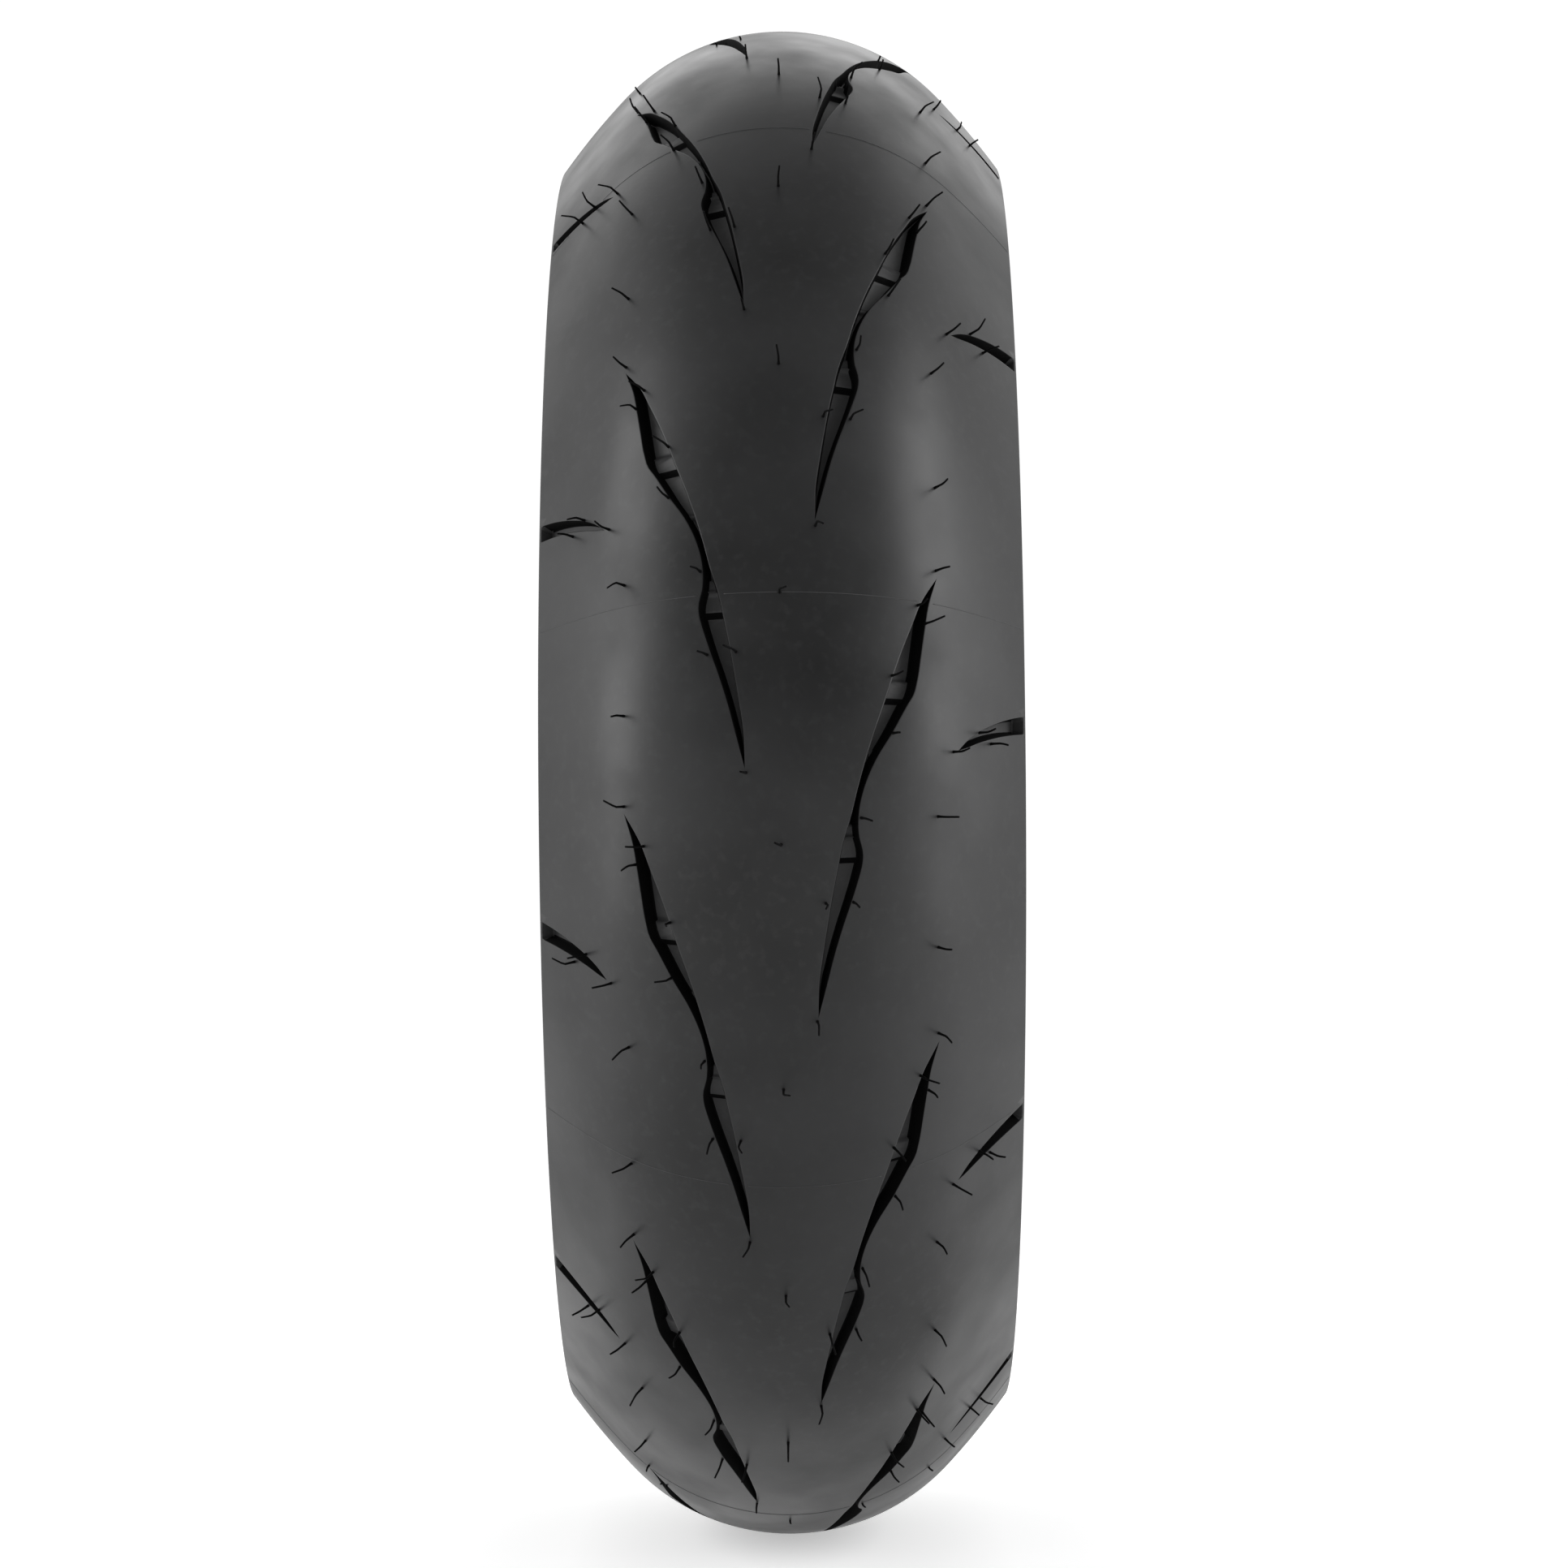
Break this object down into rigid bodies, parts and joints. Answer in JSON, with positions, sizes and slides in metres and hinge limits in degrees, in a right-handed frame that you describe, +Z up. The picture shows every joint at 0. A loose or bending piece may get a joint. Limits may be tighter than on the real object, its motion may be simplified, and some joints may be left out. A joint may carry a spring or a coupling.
{
  "type": "motorcycle tire",
  "caption": "Wide low-profile tubeless radial motorcycle rear tire with a rounded directional tread of long curved grooves and shoulder slots, off its rim.",
  "frame": {"origin": "wheel centre: on the axle line, midway between the two beads", "axes": "+Y along the axle towards the right side, +Z up, +X at right angles to both"},
  "size_m": [0.6298, 0.1782, 0.6298],
  "materials": {
    "tread_compound_hard": "matt moulded tread rubber, hard centre compound",
    "tread_compound_soft": "matt moulded tread rubber, soft shoulder compound",
    "base_rubber": "plain black rubber",
    "skim_rubber": "calendered rubber",
    "cord_steel": "brass-coated steel cord",
    "ply_fabric": "rubberised rayon cord fabric",
    "liner_rubber": "smooth butyl rubber",
    "bead_steel": "bronze-coated steel wire",
    "chafer_fabric": "rubberised square-woven nylon",
    "apex_rubber": "hard black rubber",
    "cushion_rubber": "smooth hard rubber",
    "sidewall_rubber": "satin moulded rubber"
  },
  "bodies": {
    "root": {"apex_left": "apex_rubber", "apex_right": "apex_rubber", "bead_flipper_left": "chafer_fabric", "bead_flipper_right": "chafer_fabric", "bead_insulation_left": "skim_rubber", "bead_insulation_right": "skim_rubber", "bead_wires_left": "bead_steel", "bead_wires_right": "bead_steel", "belt_cords": "cord_steel", "belt_edge_strip_left": "skim_rubber", "belt_edge_strip_right": "skim_rubber", "belt_skim": "skim_rubber", "body_ply_inner": "ply_fabric", "body_ply_outer": "ply_fabric", "chafer_left": "chafer_fabric", "chafer_right": "chafer_fabric", "inner_liner": "liner_rubber", "rim_cushion_left": "cushion_rubber", "rim_cushion_right": "cushion_rubber", "sidewall_left": "sidewall_rubber", "sidewall_right": "sidewall_rubber", "tread_base": "base_rubber", "tread_centre": "tread_compound_hard", "tread_shoulder_left": "tread_compound_soft", "tread_shoulder_right": "tread_compound_soft"}
  },
  "joints": []
}
